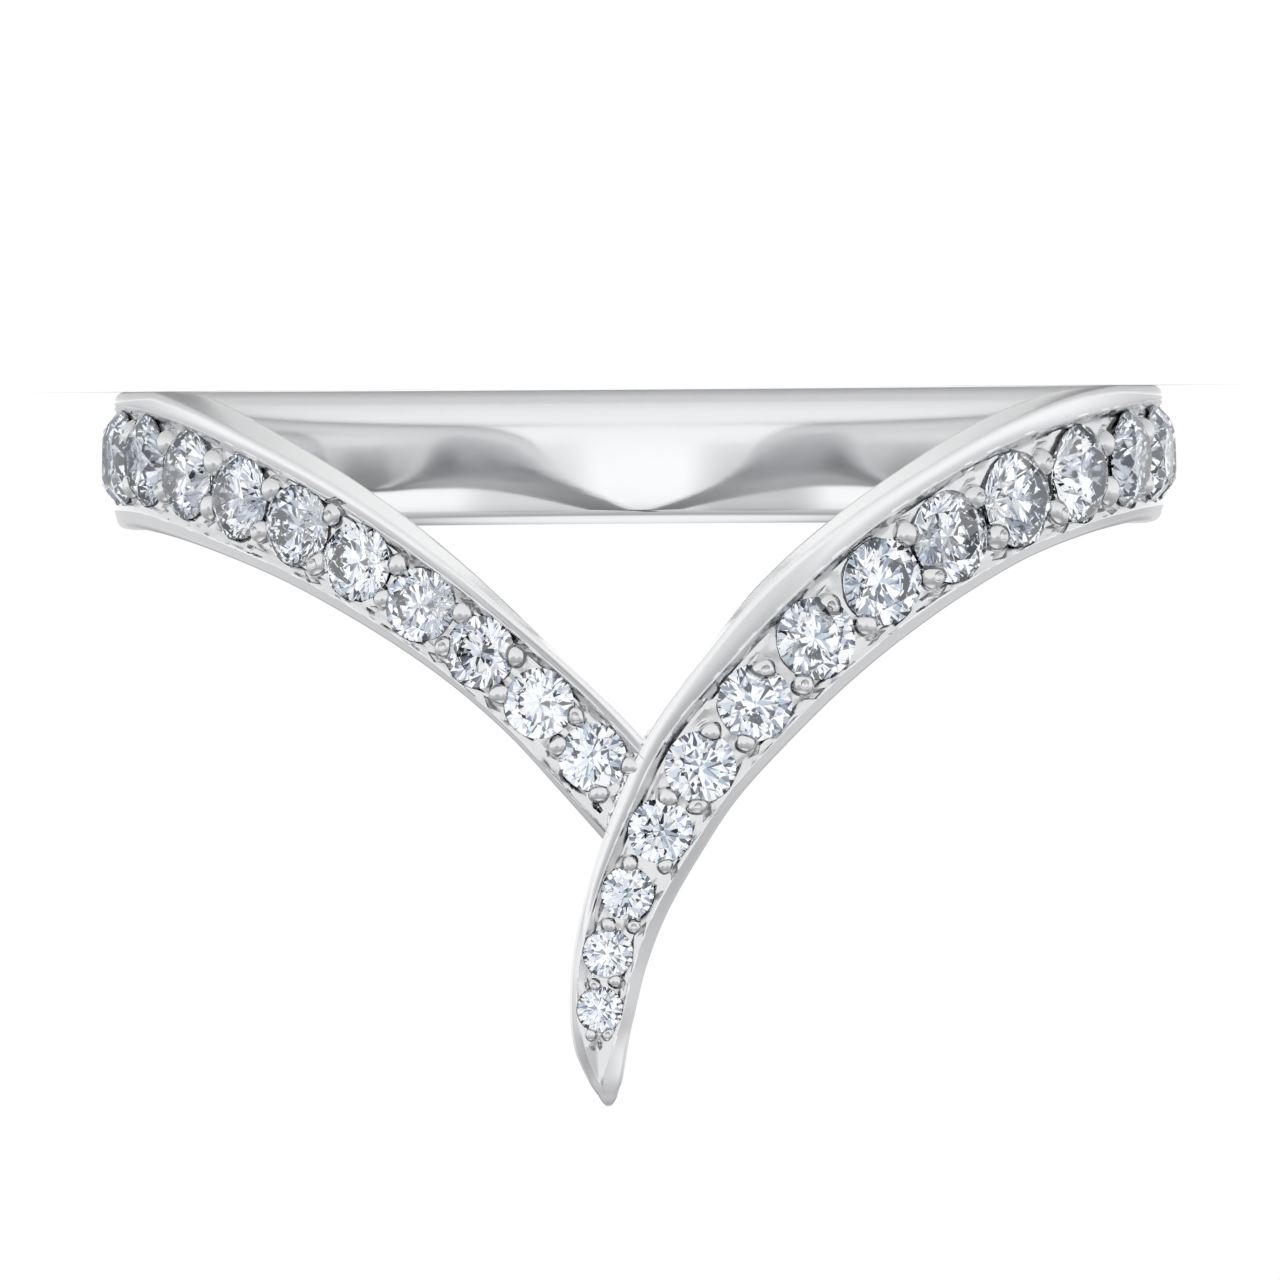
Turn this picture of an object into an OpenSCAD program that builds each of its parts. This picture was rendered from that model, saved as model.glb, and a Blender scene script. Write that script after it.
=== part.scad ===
// Ring jacket: a plain band at the back, and two stone-set arms that meet in a V at the front.
// The long arm runs on past the V into a curved point. Lengths are in millimetres.
// The ring lies on its flat rim at Z = 0. The front is at -Y, and the point stands up along +Z.
// Heights are measured from that rim, and angles from the front, positive towards the short arm.

/* [Finger hole and band] */
// Radius of the finger hole
bore_r = 8.65; // [8.6:0.05:8.95]
// Radial thickness of the metal
metal_t = 1.35; // [1.3:0.05:1.5]
// Height of the plain band
band_h = 2.65; // [2.5:0.05:2.8]
// Widening of the finger hole at the point, above the band
flare = 0.2; // [0:0.05:0.25]

/* [Arms] */
// Rounding of the arms' outer edges
outer_round = 0.1; // [0.06:0.01:0.14]
// Chamfer along the edges of the finger hole
inner_chamfer = 0.15; // [0.1:0.01:0.2]
// Narrowing of each arm's sides towards the finger
side_taper = 0.08; // [0:0.01:0.12]
// Depth of the stone channel below the rails
channel_depth = 0.2; // [0.15:0.01:0.25]
// Width of the bright-cut slope on each side of the channel
slope_w = 0.1; // [0.06:0.01:0.12]
// Angle from the front at which the channels end
channel_end = 97; // [96:0.5:98]

/* [Stones] */
// Depth of the stones' girdles below the rails
girdle_sink = 0.07; // [0.05:0.01:0.1]
// Gap between a stone and the metal
seat_gap = 0.03; // [0.02:0.005:0.04]
// Crown height, as a share of the stone's diameter
crown_share = 0.16; // [0.14:0.005:0.17]
// Pavilion depth, as a share of the stone's diameter
pavilion_share = 0.43; // [0.42:0.005:0.44]
// Table diameter, as a share of the stone's diameter
table_share = 0.57; // [0.54:0.01:0.6]
// Girdle thickness, as a share of the stone's diameter
girdle_share = 0.03; // [0.02:0.005:0.035]

/* [Grains] */
// Radius of a grain, as a share of the stones' radius beside it
grain_share = 0.31; // [0.26:0.01:0.33]
// Distance of a grain from the stone line, as a share of the stones' radius beside it
grain_offset = 0.53; // [0.5:0.01:0.58]
// Depth of a grain's centre below the rails
grain_sink = 0.13; // [0.1:0.01:0.18]

/* [Hidden] */
$fn = 48;
rail_r = bore_r + metal_t;
girdle_r = rail_r - girdle_sink;
// The arms reach this far inside the finger hole before the hole is cut, the shank a little more.
overlap = 0.15;
core_r = bore_r - overlap - 0.1;
// Share of a rounding's radius from its corner to its middle, along each side
ROUND_MID = 1 - cos(45);
// Facets of a brilliant, as shares: the stars' outer corners of the radius and of the crown's
// height, and the lower halves' inner corners of the radius and of the pavilion's depth
STAR_OUT = 0.79;
STAR_UP = 0.54;
LOWER_IN = 0.22;
LOWER_DOWN = 0.8;

// Columns of the arms' tables. The stone line is the arm's middle line on the rails' cylinder.
// Sizes are square to that line: the rim side faces the flat rim, the tip side faces the point.
ANGLE = 0;     // degrees from the front
HEIGHT = 1;    // height of the stone line
RIM_OUT = 2;   // from the stone line to the arm's edge on the rim side
RIM_IN = 3;    // from the stone line to the channel's edge on the rim side
TIP_IN = 4;    // from the stone line to the channel's edge on the tip side
TIP_OUT = 5;   // from the stone line to the arm's edge on the tip side
THINNED = 6;   // metal taken off the inside
LOWERED = 7;   // metal taken off the outside

SHORT_ARM = [
    [103.0, 1.30, 1.22, 0.95, 0.95, 1.24, 0, 0.05],
    [ 90.0, 1.26, 1.29, 0.97, 0.98, 1.32, 0, 0],
    [ 79.0, 1.25, 1.29, 0.97, 0.98, 1.33, 0, 0],
    [ 68.5, 1.30, 1.33, 0.94, 0.98, 1.32, 0, 0],
    [ 58.0, 1.56, 1.25, 0.91, 0.96, 1.24, 0, 0],
    [ 48.4, 1.97, 1.14, 0.85, 0.92, 1.16, 0, 0],
    [ 39.6, 2.51, 1.07, 0.80, 0.85, 1.07, 0, 0],
    [ 31.6, 3.17, 1.01, 0.76, 0.78, 0.99, 0, 0],
    [ 24.0, 3.96, 0.94, 0.72, 0.72, 0.90, 0, 0],
    [ 17.2, 4.83, 0.89, 0.70, 0.69, 0.82, 0, 0],
    [ 10.8, 5.77, 0.88, 0.69, 0.71, 0.82, 0, 0.01],
    [  5.1, 6.76, 0.91, 0.70, 0.76, 0.87, 0, 0.03],
    [ -0.6, 7.86, 0.88, 0.66, 0.74, 0.88, 0, 0.06],
];

LONG_ARM = [
    [-103.0,  1.30, 1.22, 0.95, 0.95, 1.24, 0, 0.05],
    [ -90.0,  1.28, 1.31, 1.00, 0.98, 1.28, 0, 0],
    [ -79.0,  1.30, 1.33, 1.01, 0.97, 1.28, 0, 0],
    [ -67.8,  1.40, 1.42, 1.02, 0.95, 1.20, 0, 0],
    [ -55.8,  1.66, 1.48, 1.05, 0.93, 1.15, 0, 0],
    [ -45.0,  2.11, 1.44, 1.07, 0.90, 1.12, 0, 0],
    [ -35.3,  2.78, 1.38, 1.02, 0.89, 1.12, 0, 0],
    [ -26.7,  3.60, 1.36, 0.95, 0.87, 1.12, 0, 0],
    [ -19.0,  4.62, 1.37, 0.88, 0.82, 1.06, 0, 0],
    [ -12.2,  5.79, 1.27, 0.86, 0.75, 0.97, 0, 0],
    [  -6.3,  6.95, 1.14, 0.82, 0.70, 0.91, 0, 0],
    [  -2.0,  8.12, 0.96, 0.67, 0.64, 0.86, 0, 0],
    [   1.5,  9.25, 0.74, 0.54, 0.58, 0.81, 0, 0],
    [   3.6, 10.35, 0.61, 0.48, 0.51, 0.72, 0, 0],
    [   4.5, 11.38, 0.54, 0.41, 0.43, 0.60, 0.05, 0],
    [   4.6, 12.10, 0.45, 0.27, 0.28, 0.50, 0.15, 0],
    [   4.5, 12.65, 0.26, 0.07, 0.07, 0.38, 0.35, 0.02],
    [   4.1, 12.95, 0.13, 0.02, 0.02, 0.25, 0.60, 0.06],
    [   3.4, 13.12, 0.08, 0.01, 0.01, 0.08, 0.80, 0.15],
];

// Columns of the stones' tables. A place counts rows of the arm's table, from 0 at its first row.
PLACE = 0;
DIAMETER = 1;

SHORT_STONES = [
    [11.00, 1.24], [10.00, 1.30], [9.00, 1.34], [8.00, 1.36], [7.00, 1.44], [6.00, 1.50],
    [ 5.00, 1.58], [ 4.00, 1.66], [3.00, 1.74], [2.00, 1.80], [1.00, 1.80],
];

LONG_STONES = [
    [14.00, 0.84], [13.00, 0.92], [12.00, 0.97], [11.00, 1.18], [10.00, 1.32], [9.00, 1.40],
    [ 8.00, 1.52], [ 7.00, 1.60], [ 6.00, 1.70], [ 5.00, 1.78], [ 4.00, 1.84], [3.00, 1.84],
    [ 2.00, 1.84], [ 1.00, 1.80],
];

// Sections between two rows of a table
STEPS = 3;
// Sides of a stone's girdle
GIRDLE_SIDES = 16;

// Columns of the grain's table, shares of its radius: its levels from the metal to the top
LEVEL_RADIUS = 0;
LEVEL_UP = 1;
GRAIN_SIDES = 9;
GRAIN = [
    [0.66, -0.75],
    [1.00, 0.00],
    [0.84, 0.54],
    [0.45, 0.88],
];

// Value between b and c of a smooth curve through a, b, c and d
function smooth(a, b, c, d, t) =
    b + t * (c - a) / 2
    + t * t * (2 * a - 5 * b + 4 * c - d) / 2
    + t * t * t * (3 * b - a - 3 * c + d) / 2;

// The row of a table at any place, whole or not, along it
function row_at(table, place) =
    let (
        last = len(table) - 1,
        i = min(floor(place), last - 1),
        before = i > 0 ? table[i - 1] : 2 * table[0] - table[1],
        after = i < last - 1 ? table[i + 2] : 2 * table[last] - table[last - 1]
    )
    smooth(before, table[i], table[i + 1], after, place - i);

// Point on the unrolled rails' cylinder: arc length, then height
function flat_point(row) = [rail_r * row[ANGLE] * PI / 180, row[HEIGHT]];

// Unit direction across an arm, from its rim side to its tip side
function across(table, place, side) =
    let (
        step = 0.05,
        ahead = flat_point(row_at(table, min(place + step, len(table) - 1))),
        behind = flat_point(row_at(table, max(place - step, 0))),
        along = (ahead - behind) / norm(ahead - behind)
    )
    side * [along[1], -along[0]];

// A place on an arm, moved sideways, as a point in space at radius r
function on_ring(table, place, side, sideways, r) =
    let (
        q = flat_point(row_at(table, place)) + sideways * across(table, place, side),
        a = q[0] / rail_r * 180 / PI
    )
    [r * sin(a), -r * cos(a), q[1]];

// Closed outline of an arm's section: sideways distance and radius, from the rim side's inner edge
function arm_outline(row) =
    let (
        inside_r = bore_r + row[THINNED] + inner_chamfer,
        top_r = rail_r - row[LOWERED],
        rim_foot = row[RIM_OUT] - min(side_taper, row[RIM_OUT] / 4),
        tip_foot = row[TIP_OUT] - min(side_taper, row[TIP_OUT] / 4),
        corner = min(outer_round, row[RIM_OUT] / 3, row[TIP_OUT] / 3),
        // The two inner edges stay apart where the arm is narrow.
        apart = 0.95,
        deep = apart * min(inner_chamfer + overlap, rim_foot, tip_foot),
        deep_r = inside_r - inner_chamfer - overlap
    )
    [
        [-rim_foot + deep, deep_r],
        [-rim_foot, inside_r],
        [-row[RIM_OUT], top_r - corner],
        [-row[RIM_OUT] + ROUND_MID * corner, top_r - ROUND_MID * corner],
        [-row[RIM_OUT] + corner, top_r],
        [row[TIP_OUT] - corner, top_r],
        [row[TIP_OUT] - ROUND_MID * corner, top_r - ROUND_MID * corner],
        [row[TIP_OUT], top_r - corner],
        [tip_foot, inside_r],
        [tip_foot - deep, deep_r],
    ];

// Closed outline of the channel's cutter, whose slopes go on above the rails
function channel_outline(row) =
    let (
        above = 0.3,
        slope = min(slope_w, row[RIM_IN] / 2, row[TIP_IN] / 2),
        depth = channel_depth * min(1, row[RIM_IN] / slope_w / 2),
        spread = slope * above / depth
    )
    [
        [-row[RIM_IN] + slope, rail_r - depth],
        [-row[RIM_IN] - spread, rail_r + above],
        [row[TIP_IN] + spread, rail_r + above],
        [row[TIP_IN] - slope, rail_r - depth],
    ];

// Solid through rings of points, all with the same number of points
module loft(rings) {
    n = len(rings[0]);
    last = len(rings) - 1;
    polyhedron(
        points = [for (ring = rings, p = ring) p],
        faces = concat(
            [[for (k = [0:n - 1]) k]],
            [[for (k = [n - 1:-1:0]) last * n + k]],
            [
                for (i = [0:last - 1], k = [0:n - 1], half = [0, 1])
                    let (m = (k + 1) % n, a = i * n, b = a + n)
                    half == 0 ? [a + k, b + k, b + m] : [a + k, b + m, a + m]
            ]
        )
    );
}

// Places of the sections from one place to another
function places(from, to) =
    let (count = ceil((to - from) * STEPS))
    [for (k = [0:count]) from + (to - from) * k / count];

// An outline's points on the ring, in the order that faces a loft outwards
function section(table, place, side, outline) =
    [
        for (k = [0:len(outline) - 1])
            let (p = outline[side > 0 ? k : len(outline) - 1 - k])
            on_ring(table, place, side, p[0], p[1])
    ];

// The body of an arm. side is 1 for the short arm and -1 for the long one.
module arm_body(table, side) {
    loft([
        for (place = places(0, len(table) - 1))
            section(table, place, side, arm_outline(row_at(table, place)))
    ]);
}

module arm_channel(table, side, from, to) {
    loft([
        for (place = places(from, to))
            section(table, place, side, channel_outline(row_at(table, place)))
    ]);
}

// Moves a shape that stands on Z to a point of the ring, facing outwards
module facing_out(at) {
    translate(at) rotate([90, 0, atan2(at[0], -at[1])]) children();
}

// The plain back of the band, which the arms run into
module shank() {
    soft = 0.2;
    half = ROUND_MID * soft;
    start = channel_end + 1;
    rotate([0, 0, start - 90])
        rotate_extrude(angle = 360 - 2 * start)
            polygon([
                [core_r, 2 * soft],
                [bore_r, soft],
                [bore_r + half, half],
                [bore_r + soft, 0],
                [rail_r - soft, 0],
                [rail_r - half, half],
                [rail_r, soft],
                [rail_r, band_h - soft],
                [rail_r - half, band_h - half],
                [rail_r - soft, band_h],
                [bore_r + soft, band_h],
                [bore_r + half, band_h - half],
                [bore_r, band_h - soft],
                [core_r, band_h - 2 * soft],
            ]);
}

// The finger hole: straight through the band, and slightly wider towards the point
module finger_hole() {
    past = 1;
    point_h = LONG_ARM[len(LONG_ARM) - 1][HEIGHT];
    rotate_extrude()
        polygon([
            [0, -past],
            [bore_r, -past],
            [bore_r, band_h],
            [bore_r + flare * (point_h + past - band_h) / (point_h - band_h), point_h + past],
            [0, point_h + past],
        ]);
}

// All that is below the flat rim
module below_rim() {
    wide = 4 * rail_r;
    deep = 5;
    translate([-wide / 2, -wide / 2, -deep]) cube([wide, wide, deep]);
}

// Regular polygon of a number of sides, square to Z
function level_ring(sides, r, z) =
    [for (k = [0:sides - 1]) [r * cos(360 * k / sides), r * sin(360 * k / sides), z]];

// What is cut for one stone, a little larger than the stone all round
module seat(d) {
    r = d / 2 + seat_gap;
    half_girdle = girdle_share * d / 2 + seat_gap;
    crown_top = girdle_share * d / 2 + crown_share * d;
    table_r = table_share * d / 2 + seat_gap;
    // The cone's point is cut off well below the culet.
    point_r = 0.02;
    clear = 0.5;
    loft([
        level_ring(GIRDLE_SIDES, point_r, -girdle_share * d / 2 - pavilion_share * d - 2 * seat_gap),
        level_ring(GIRDLE_SIDES, r, -half_girdle),
        level_ring(GIRDLE_SIDES, r, half_girdle),
        level_ring(GIRDLE_SIDES, table_r, crown_top + seat_gap),
        level_ring(GIRDLE_SIDES, table_r, crown_top + clear),
    ]);
}

module seats(table, side, stones) {
    for (stone = stones)
        facing_out(on_ring(table, stone[PLACE], side, 0, girdle_r)) seat(stone[DIAMETER]);
}

// One grain: a bead of flat facets around its centre
module grain(at, r) {
    facing_out(at)
        loft([for (level = GRAIN) level_ring(GRAIN_SIDES, r * level[LEVEL_RADIUS], r * level[LEVEL_UP])]);
}

// Two grains in each gap between neighbouring stones, one near each rail
module grains(table, side, stones) {
    for (k = [0:len(stones) - 2], way = [-1, 1]) {
        beside_r = (stones[k][DIAMETER] + stones[k + 1][DIAMETER]) / 4;
        place = (stones[k][PLACE] + stones[k + 1][PLACE]) / 2;
        grain(
            on_ring(table, place, side, way * grain_offset * beside_r, rail_r - grain_sink),
            grain_share * beside_r
        );
    }
}

// Two grains beyond an end stone, one near each rail. beyond is in places along the arm, offset
// a share of the stone's radius.
module end_grains(table, side, stone, beyond, offset) {
    r = stone[DIAMETER] / 2;
    for (way = [-1, 1])
        grain(
            on_ring(table, stone[PLACE] + beyond, side, way * offset * r, rail_r - grain_sink),
            grain_share * r
        );
}

// All the metal, soldered and cast as one
module ring_band() {
    // The channels start inside the first rows, and the short one runs out at the V.
    start = (SHORT_ARM[0][ANGLE] - channel_end) / (SHORT_ARM[0][ANGLE] - SHORT_ARM[1][ANGLE]);
    short_stop = len(SHORT_ARM) - 0.8;
    long_stop = len(LONG_ARM) - 2;
    color("gainsboro")
    difference() {
        union() {
            difference() {
                union() {
                    difference() {
                        arm_body(SHORT_ARM, 1);
                        arm_channel(SHORT_ARM, 1, start, short_stop);
                    }
                    arm_body(LONG_ARM, -1);
                }
                arm_channel(LONG_ARM, -1, start, long_stop);
            }
            shank();
            grains(SHORT_ARM, 1, SHORT_STONES);
            grains(LONG_ARM, -1, LONG_STONES);
            end_grains(LONG_ARM, -1, LONG_STONES[0], beyond = 0.6, offset = 0.4);
            end_grains(SHORT_ARM, 1, SHORT_STONES[0], beyond = 0.38, offset = 0.6);
        }
        seats(SHORT_ARM, 1, SHORT_STONES);
        seats(LONG_ARM, -1, LONG_STONES);
        finger_hole();
        below_rim();
    }
}

// A round brilliant, girdle at Z = 0 and table up: 8 mains, 8 stars and 16 halves on the crown,
// 8 mains and 16 halves on the pavilion
module brilliant(d) {
    r = d / 2;
    table_r = table_share * r;
    half_girdle = girdle_share * r;
    crown_h = crown_share * d;
    pavilion_h = pavilion_share * d;
    star_r = STAR_OUT * r;
    star_z = half_girdle + STAR_UP * crown_h;
    lower_r = LOWER_IN * r;
    lower_z = -half_girdle - LOWER_DOWN * pavilion_h;
    table_at = 0;
    star_at = 8;
    top_at = 16;
    bottom_at = 32;
    lower_at = 48;
    culet_at = 56;
    points = concat(
        level_ring(GIRDLE_SIDES / 2, table_r, half_girdle + crown_h),
        [for (k = [0:7]) [star_r * cos(45 * k + 22.5), star_r * sin(45 * k + 22.5), star_z]],
        level_ring(GIRDLE_SIDES, r, half_girdle),
        level_ring(GIRDLE_SIDES, r, -half_girdle),
        [for (k = [0:7]) [lower_r * cos(45 * k + 22.5), lower_r * sin(45 * k + 22.5), lower_z]],
        [[0, 0, -half_girdle - pavilion_h]]
    );
    faces = concat(
        [[for (k = [7:-1:0]) table_at + k]],
        [for (k = [0:7]) [table_at + k, table_at + (k + 1) % 8, star_at + k]],
        [for (k = [0:7]) [table_at + k, star_at + k, top_at + 2 * k]],
        [for (k = [0:7]) [table_at + k, top_at + 2 * k, star_at + (k + 7) % 8]],
        [for (k = [0:7]) [star_at + k, top_at + 2 * k + 1, top_at + 2 * k]],
        [for (k = [0:7]) [star_at + k, top_at + (2 * k + 2) % 16, top_at + 2 * k + 1]],
        [for (k = [0:15]) [top_at + k, top_at + (k + 1) % 16, bottom_at + (k + 1) % 16]],
        [for (k = [0:15]) [top_at + k, bottom_at + (k + 1) % 16, bottom_at + k]],
        [for (k = [0:7]) [lower_at + k, bottom_at + 2 * k, bottom_at + 2 * k + 1]],
        [for (k = [0:7]) [lower_at + k, bottom_at + 2 * k + 1, bottom_at + (2 * k + 2) % 16]],
        [for (k = [0:7]) [culet_at, bottom_at + 2 * k, lower_at + k]],
        [for (k = [0:7]) [culet_at, lower_at + (k + 7) % 8, bottom_at + 2 * k]]
    );
    polyhedron(points = points, faces = faces);
}

module set_stone(table, side, stone) {
    color("aliceblue")
    facing_out(on_ring(table, stone[PLACE], side, 0, girdle_r)) brilliant(stone[DIAMETER]);
}

function numbered(word, k) = str(word, k < 10 ? "_0" : "_", k);

SHORT_NODES = [for (k = [1:len(SHORT_STONES)]) numbered("stone_short", k)];
LONG_NODES = [for (k = [1:len(LONG_STONES)]) numbered("stone_long", k)];

ring_band();
for (k = [0:len(SHORT_STONES) - 1])
    set_stone(SHORT_ARM, 1, SHORT_STONES[k]);
for (k = [0:len(LONG_STONES) - 1])
    set_stone(LONG_ARM, -1, LONG_STONES[k]);
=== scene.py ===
"""Ring jacket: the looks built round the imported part.

The metal is one fine mesh, swept along the same stone lines as the part's source. Seats, gouges and
hollows are cut into it, and beads are added to it. The stones are cut plane by plane. Lengths are
in millimetres up to the finished meshes, and in metres in the materials and for the camera.
"""

import math
import random
from collections import namedtuple
from types import SimpleNamespace

import bmesh
import bpy
import numpy as np
from mathutils import Matrix, Vector


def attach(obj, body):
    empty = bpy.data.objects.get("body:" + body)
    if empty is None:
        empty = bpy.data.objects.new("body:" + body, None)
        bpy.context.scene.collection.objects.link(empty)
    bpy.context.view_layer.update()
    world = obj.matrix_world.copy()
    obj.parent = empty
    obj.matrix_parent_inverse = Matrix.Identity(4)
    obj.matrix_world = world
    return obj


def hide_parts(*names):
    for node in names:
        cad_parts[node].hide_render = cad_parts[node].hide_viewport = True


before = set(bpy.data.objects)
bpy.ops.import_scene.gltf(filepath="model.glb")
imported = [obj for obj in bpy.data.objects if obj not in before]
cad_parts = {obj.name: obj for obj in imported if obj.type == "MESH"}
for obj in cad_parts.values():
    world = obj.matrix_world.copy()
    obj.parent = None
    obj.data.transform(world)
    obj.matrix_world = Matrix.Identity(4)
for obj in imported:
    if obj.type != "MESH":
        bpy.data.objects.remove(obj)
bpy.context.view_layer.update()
random.seed(11)
rng = np.random.default_rng(11)

MM = 0.001

# The ring. Angles are in degrees from the front, where the V is
BORE_R = 8.65
METAL_T = 1.35
RAIL_R = BORE_R + METAL_T
BAND_H = 2.65
FLARE = 0.2             # the finger hole's radius grows by this from the band's top to the point
FLARE_MOST = 1.1        # and stops growing at this share of that height
SIDE_TAPER = 0.08       # how much narrower each side of an arm is inside than outside
CHANNEL_DEPTH = 0.11
SLOPE_W = 0.17          # width of the bright-cut slope between the channel's floor and a rail
CHANNEL_END = 97.2      # angle at which the channels have half their depth left
CHANNEL_RUN_OUT = 1.6   # degrees over which they run out, half on each side of it

# The stones. A share with no other word is one of the stone's diameter
GIRDLE_SINK = 0.07      # depth of the girdle's middle below the rails
SEAT_GAP = 0.008        # between a stone and its seat
CROWN = 0.15            # heights as shares
PAVILION = 0.43
GIRDLE = 0.03
TABLE = 0.57            # width as a share
STAR_OUT = 0.765        # where the star facets end, as a share of the radius
LOWER_IN = 0.22         # where the lower halves end, as a share of the radius
LOWER_DOWN = 0.8        # and as a share of the pavilion's height

# Columns of the arms' tables, as in the part's source
ANGLE, HEIGHT, RIM_OUT, RIM_IN, TIP_IN, TIP_OUT, THINNED, LOWERED = range(8)
SHORT_ARM = np.array([
    [103.0, 1.30, 1.22, 0.95, 0.95, 1.24, 0, 0.05],
    [90.0, 1.26, 1.29, 0.97, 0.98, 1.32, 0, 0],
    [79.0, 1.25, 1.29, 0.97, 0.98, 1.33, 0, 0],
    [68.5, 1.30, 1.33, 0.94, 0.98, 1.32, 0, 0],
    [58.0, 1.56, 1.25, 0.91, 0.96, 1.24, 0, 0],
    [48.4, 1.97, 1.14, 0.85, 0.92, 1.16, 0, 0],
    [39.6, 2.51, 1.07, 0.80, 0.85, 1.07, 0, 0],
    [31.6, 3.17, 1.01, 0.76, 0.78, 0.99, 0, 0],
    [24.0, 3.96, 0.94, 0.72, 0.72, 0.90, 0, 0],
    [17.2, 4.83, 0.89, 0.70, 0.69, 0.82, 0, 0],
    [10.8, 5.77, 0.88, 0.69, 0.71, 0.82, 0, 0.01],
    [5.1, 6.76, 0.91, 0.70, 0.76, 0.87, 0, 0.03],
    [-0.6, 7.86, 0.88, 0.66, 0.74, 0.88, 0, 0.06],
])
LONG_ARM = np.array([
    [-103.0, 1.30, 1.22, 0.95, 0.95, 1.24, 0, 0.05],
    [-90.0, 1.28, 1.31, 1.00, 0.98, 1.28, 0, 0],
    [-79.0, 1.30, 1.33, 1.01, 0.97, 1.28, 0, 0],
    [-67.8, 1.40, 1.42, 1.02, 0.95, 1.20, 0, 0],
    [-55.8, 1.66, 1.48, 1.05, 0.93, 1.15, 0, 0],
    [-45.0, 2.11, 1.44, 1.07, 0.90, 1.12, 0, 0],
    [-35.3, 2.78, 1.38, 1.02, 0.89, 1.12, 0, 0],
    [-26.7, 3.60, 1.36, 0.95, 0.87, 1.12, 0, 0],
    [-19.0, 4.62, 1.37, 0.88, 0.82, 1.06, 0, 0],
    [-12.2, 5.79, 1.27, 0.86, 0.75, 0.97, 0, 0],
    [-6.3, 6.95, 1.14, 0.82, 0.70, 0.91, 0, 0],
    [-2.0, 8.12, 0.96, 0.67, 0.64, 0.86, 0, 0],
    [1.5, 9.25, 0.74, 0.54, 0.58, 0.82, 0, 0],
    [3.6, 10.35, 0.64, 0.48, 0.51, 0.75, 0, 0],
    [4.5, 11.38, 0.56, 0.41, 0.43, 0.65, 0.05, 0],
    [4.6, 12.10, 0.46, 0.25, 0.24, 0.52, 0.15, 0.01],
    [4.45, 12.65, 0.255, 0.06, 0.05, 0.40, 0.42, 0.05],
    [4.2, 12.86, 0.18, 0.02, 0.02, 0.28, 0.58, 0.085],
    [3.95, 12.96, 0.15, 0.01, 0.01, 0.21, 0.66, 0.11],
])
POINT_H = LONG_ARM[-1, HEIGHT]

# Columns of the stones' tables: place along the arm's table, diameter
SHORT_STONES = [
    (11, 1.24), (10, 1.30), (9, 1.34), (8, 1.36), (7, 1.44), (6, 1.50),
    (5, 1.58), (4, 1.66), (3, 1.74), (2, 1.80), (1, 1.80),
]
LONG_STONES = [
    (14, 0.84), (13, 0.92), (12, 0.97), (11, 1.18), (10, 1.32), (9, 1.40), (8, 1.52),
    (7, 1.60), (6, 1.70), (5, 1.78), (4, 1.84), (3, 1.84), (2, 1.84), (1, 1.80),
]

# Where the beads of each gap stand off the plain pattern, a row for each gap from the V's end of
# the arm: shift along the arm in places and across it in mm, of the rim's and of the point's bead
RIM_ALONG, RIM_ACROSS, POINT_ALONG, POINT_ACROSS = range(4)
SHORT_SHIFTS = [
    (-0.04, 0.04, 0.07, -0.03), (-0.12, 0.00, 0.03, 0.00), (0.02, 0.00, 0.08, 0.00),
    (0.00, 0.00, 0.02, -0.07), (-0.07, -0.14, -0.03, 0.05), (-0.02, 0.00, -0.04, 0.00),
    (-0.02, 0.02, 0.00, 0.00), (0.00, 0.00, 0.00, 0.00), (0.00, 0.00, 0.00, 0.00), (0.00, 0.00, 0.00, 0.00),
]
LONG_SHIFTS = [
    (0.06, 0.09, -0.05, -0.02), (0.07, 0.13, -0.04, 0.07), (0.10, 0.09, -0.12, 0.11),
    (0.05, 0.14, -0.06, 0.02), (0.10, 0.11, -0.09, 0.00), (0.17, 0.08, -0.04, 0.05),
    (0.16, 0.13, -0.07, 0.02), (-0.02, -0.05, -0.09, 0.02), (0.05, 0.05, -0.08, 0.00),
    (0.06, 0.02, -0.06, 0.05), (0.00, 0.08, 0.00, 0.00), (0.00, 0.06, 0.00, 0.00), (0.00, 0.00, 0.00, 0.00),
]

# side is 1 where the rim lies to the left of the table's direction, seen from outside, and -1 where
# it lies to the right. The two end beads stand end_past places beyond the first stone and off the
# middle by end_aside, a share of its radius
Arm = namedtuple("Arm", "table side stones shifts end_past end_aside")
SHORT = Arm(SHORT_ARM, 1, SHORT_STONES, SHORT_SHIFTS, 0.38, 0.6)
LONG = Arm(LONG_ARM, -1, LONG_STONES, LONG_SHIFTS, 0.6, 0.4)


# The stone lines

NEARBY = 0.05           # places to each side from which a line's direction is taken


def row_at(table, place):
    """The table's rows at any places, smoothed as in the part's source."""
    place = np.atleast_1d(np.asarray(place, float))
    last = len(table) - 1
    i = np.clip(np.floor(place).astype(int), 0, last - 1)
    t = (place - i)[:, None]
    padded = np.vstack([2 * table[0] - table[1], table, 2 * table[last] - table[last - 1]])
    a, b, c, d = (padded[i + k] for k in range(4))
    return (
        b + t * (c - a) / 2 + t * t * (2 * a - 5 * b + 4 * c - d) / 2
        + t ** 3 * (3 * b - a - 3 * c + d) / 2
    )


def flat_points(rows):
    """Points on the unrolled rails' cylinder: arc length, height."""
    return np.stack([RAIL_R * np.radians(rows[:, ANGLE]), rows[:, HEIGHT]], 1)


def unit(vectors):
    """The vectors' directions, as vectors of length 1."""
    return vectors / np.linalg.norm(vectors, axis=1)[:, None]


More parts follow.
